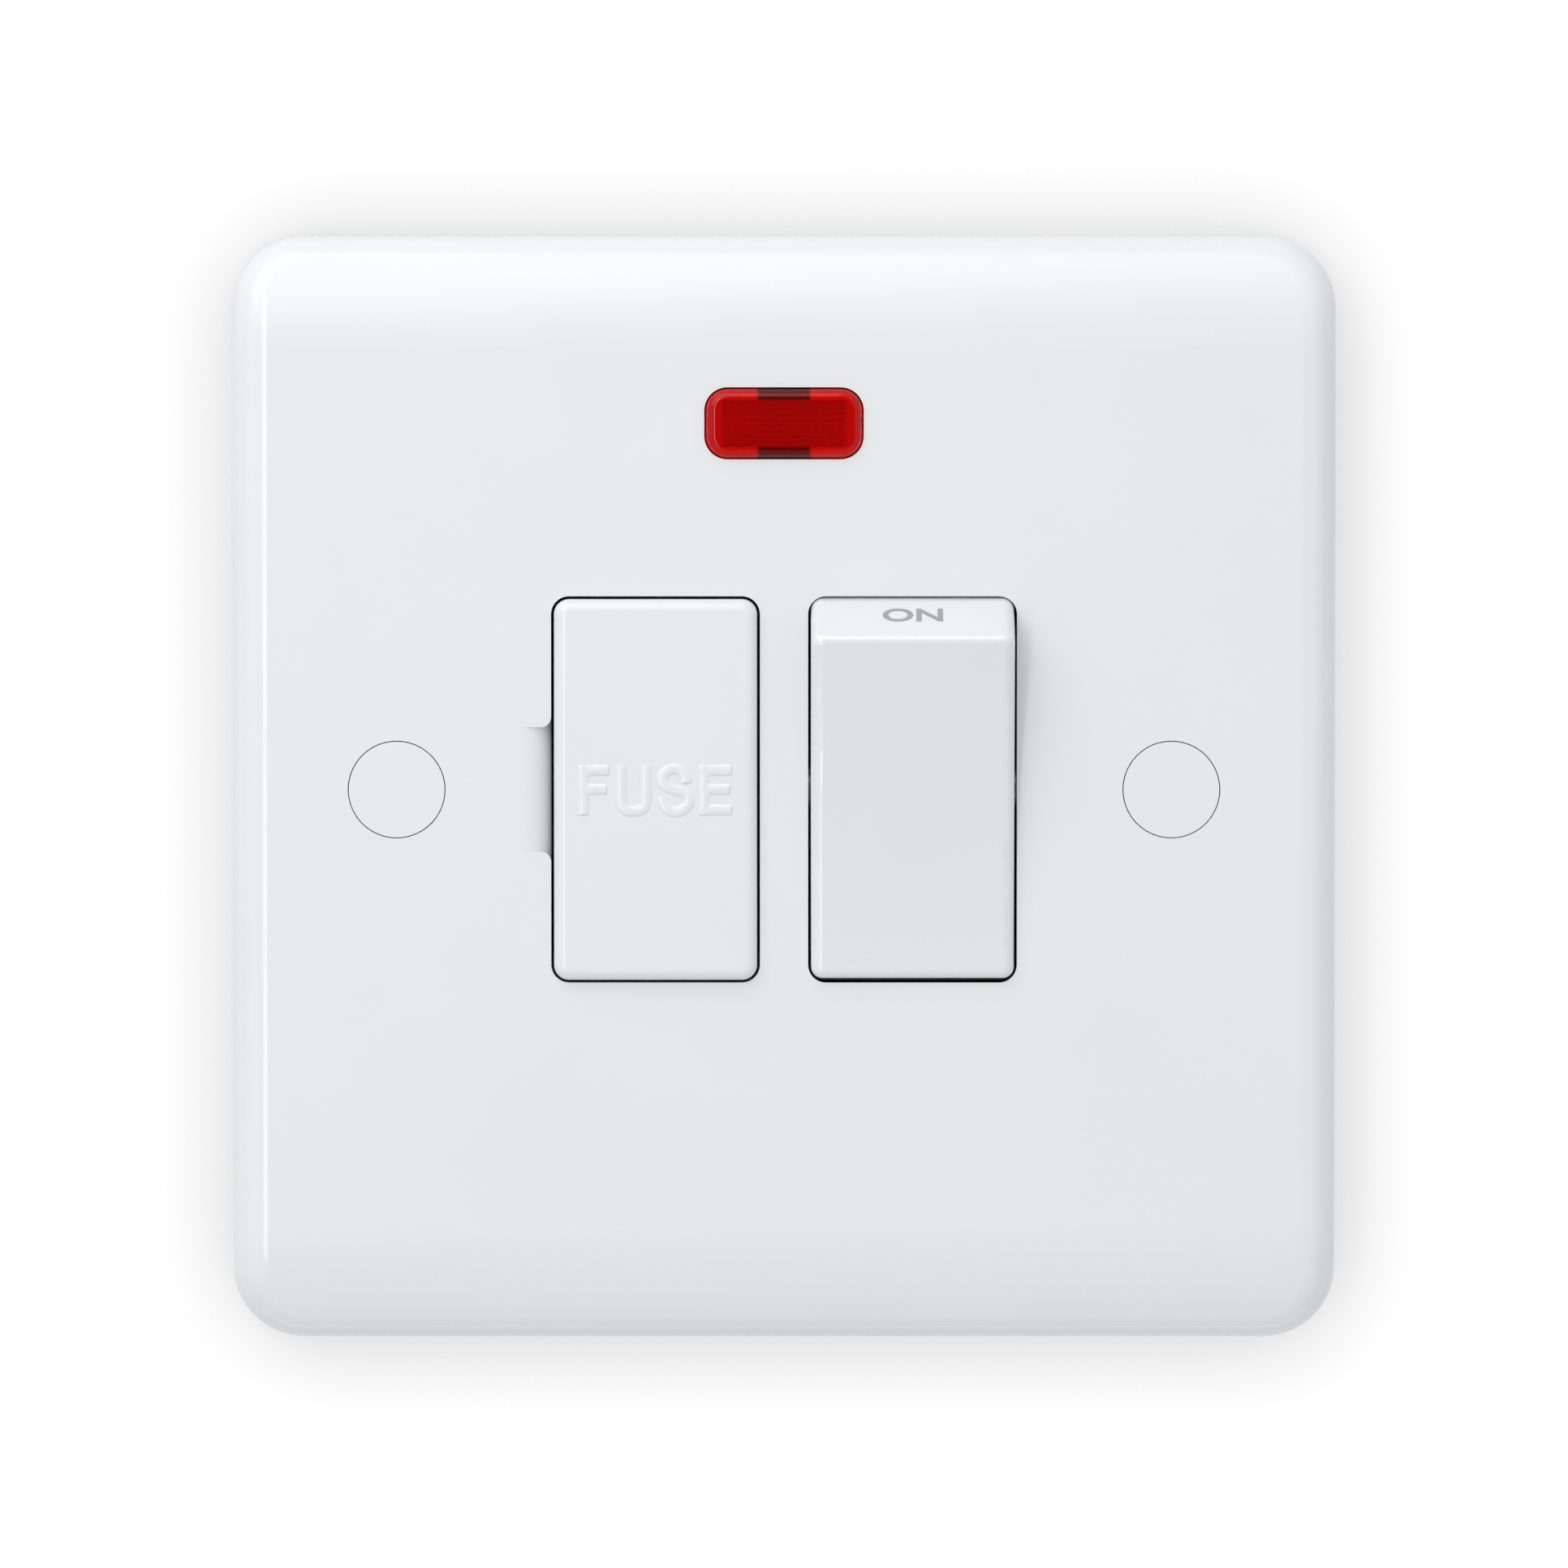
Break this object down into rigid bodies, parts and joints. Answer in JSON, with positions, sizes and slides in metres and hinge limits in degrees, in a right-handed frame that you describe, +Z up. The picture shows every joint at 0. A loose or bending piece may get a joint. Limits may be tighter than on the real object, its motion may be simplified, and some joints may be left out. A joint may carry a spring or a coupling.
{
  "type": "switched fused connection unit",
  "caption": "Square wall plate with a rocker switch, a pull-out fuse carrier, a red neon indicator and a rear housing with wire terminals.",
  "frame": {"origin": "centre of the plate's back, in the plane of the wall", "axes": "+Z up and +X to the right as seen from the front, +Y into the wall"},
  "size_m": [0.086, 0.0359, 0.086],
  "materials": {
    "white_plastic": "white moulded plastic, soft gloss",
    "housing_plastic": "off-white moulded plastic, satin",
    "plated_steel": "nickel-plated steel",
    "terminal_screw_brass": "turned brass",
    "red_lens": "clear red moulded lens",
    "bulb_glass": "clear glass",
    "resistor_body": "lacquered beige",
    "tinned_wire": "tinned copper",
    "brass": "pressed brass",
    "plunger_plastic": "natural nylon",
    "spring_steel": "drawn spring wire",
    "contact_silver": "silver alloy",
    "fuse_ceramic": "glazed ceramic",
    "fuse_cap_metal": "nickel-plated brass"
  },
  "bodies": {
    "base": {"front_plate": "white_plastic", "rear_housing": "housing_plastic", "neon_holder": "housing_plastic", "housing_screws": "plated_steel", "fixing_screws": "plated_steel", "terminal_screws": "terminal_screw_brass", "neon_lens": "red_lens", "neon_bulb": "bulb_glass", "neon_resistor": "resistor_body", "neon_live_lead": "tinned_wire", "neon_link_lead": "tinned_wire", "neon_neutral_lead": "tinned_wire", "live_in_terminal": "brass", "neutral_in_terminal": "brass", "live_out_terminal": "brass", "neutral_out_terminal": "brass", "earth_terminal": "brass", "live_link": "brass", "live_fixed_rivet": "contact_silver", "neutral_fixed_rivet": "contact_silver"},
    "rocker": {"rocker": "white_plastic", "live_spring": "spring_steel", "neutral_spring": "spring_steel"},
    "live_plunger": {"live_plunger": "plunger_plastic"},
    "neutral_plunger": {"neutral_plunger": "plunger_plastic"},
    "live_contact": {"live_contact": "brass", "live_moving_rivet": "contact_silver"},
    "neutral_contact": {"neutral_contact": "brass", "neutral_moving_rivet": "contact_silver"},
    "fuse_carrier": {"fuse_carrier": "white_plastic", "fuse_barrel": "fuse_ceramic", "fuse_cap_upper": "fuse_cap_metal", "fuse_cap_lower": "fuse_cap_metal"},
    "left_cap": {"left_screw_cap": "white_plastic"},
    "right_cap": {"right_screw_cap": "white_plastic"}
  },
  "joints": [
    {"name": "rocker_tilt", "type": "hinge", "parent": "base", "child": "rocker", "pos_m": [0.01, -0.0054, 0], "axis": [1, 0, 0], "range_deg": [-20, 0]},
    {"name": "live_contact_tilt", "type": "hinge", "parent": "base", "child": "live_contact", "pos_m": [0.006, 0.00584, 0], "axis": [1, 0, 0], "range_deg": [0, 24]},
    {"name": "neutral_contact_tilt", "type": "hinge", "parent": "base", "child": "neutral_contact", "pos_m": [0.014, 0.00584, 0], "axis": [1, 0, 0], "range_deg": [0, 24]},
    {"name": "live_plunger_slide", "type": "slide", "parent": "rocker", "child": "live_plunger", "axis": [0, -0.9848, -0.1736], "range_m": [0, 0.0006], "stiffness_N_per_m": 400, "springref_m": -0.002, "deforming": ["live_spring"]},
    {"name": "neutral_plunger_slide", "type": "slide", "parent": "rocker", "child": "neutral_plunger", "axis": [0, -0.9848, -0.1736], "range_m": [0, 0.0006], "stiffness_N_per_m": 400, "springref_m": -0.002, "deforming": ["neutral_spring"]},
    {"name": "fuse_carrier_slide", "type": "slide", "parent": "base", "child": "fuse_carrier", "axis": [0, -1, 0], "range_m": [0, 0.02]},
    {"name": "left_cap_pull", "type": "slide", "parent": "base", "child": "left_cap", "axis": [0, -1, 0], "range_m": [0, 0.008]},
    {"name": "right_cap_pull", "type": "slide", "parent": "base", "child": "right_cap", "axis": [0, -1, 0], "range_m": [0, 0.008]}
  ],
  "couplings": [
    {"joint": "live_contact_tilt", "follows": "rocker_tilt", "ratio": -1.2},
    {"joint": "neutral_contact_tilt", "follows": "rocker_tilt", "ratio": -1.2}
  ]
}
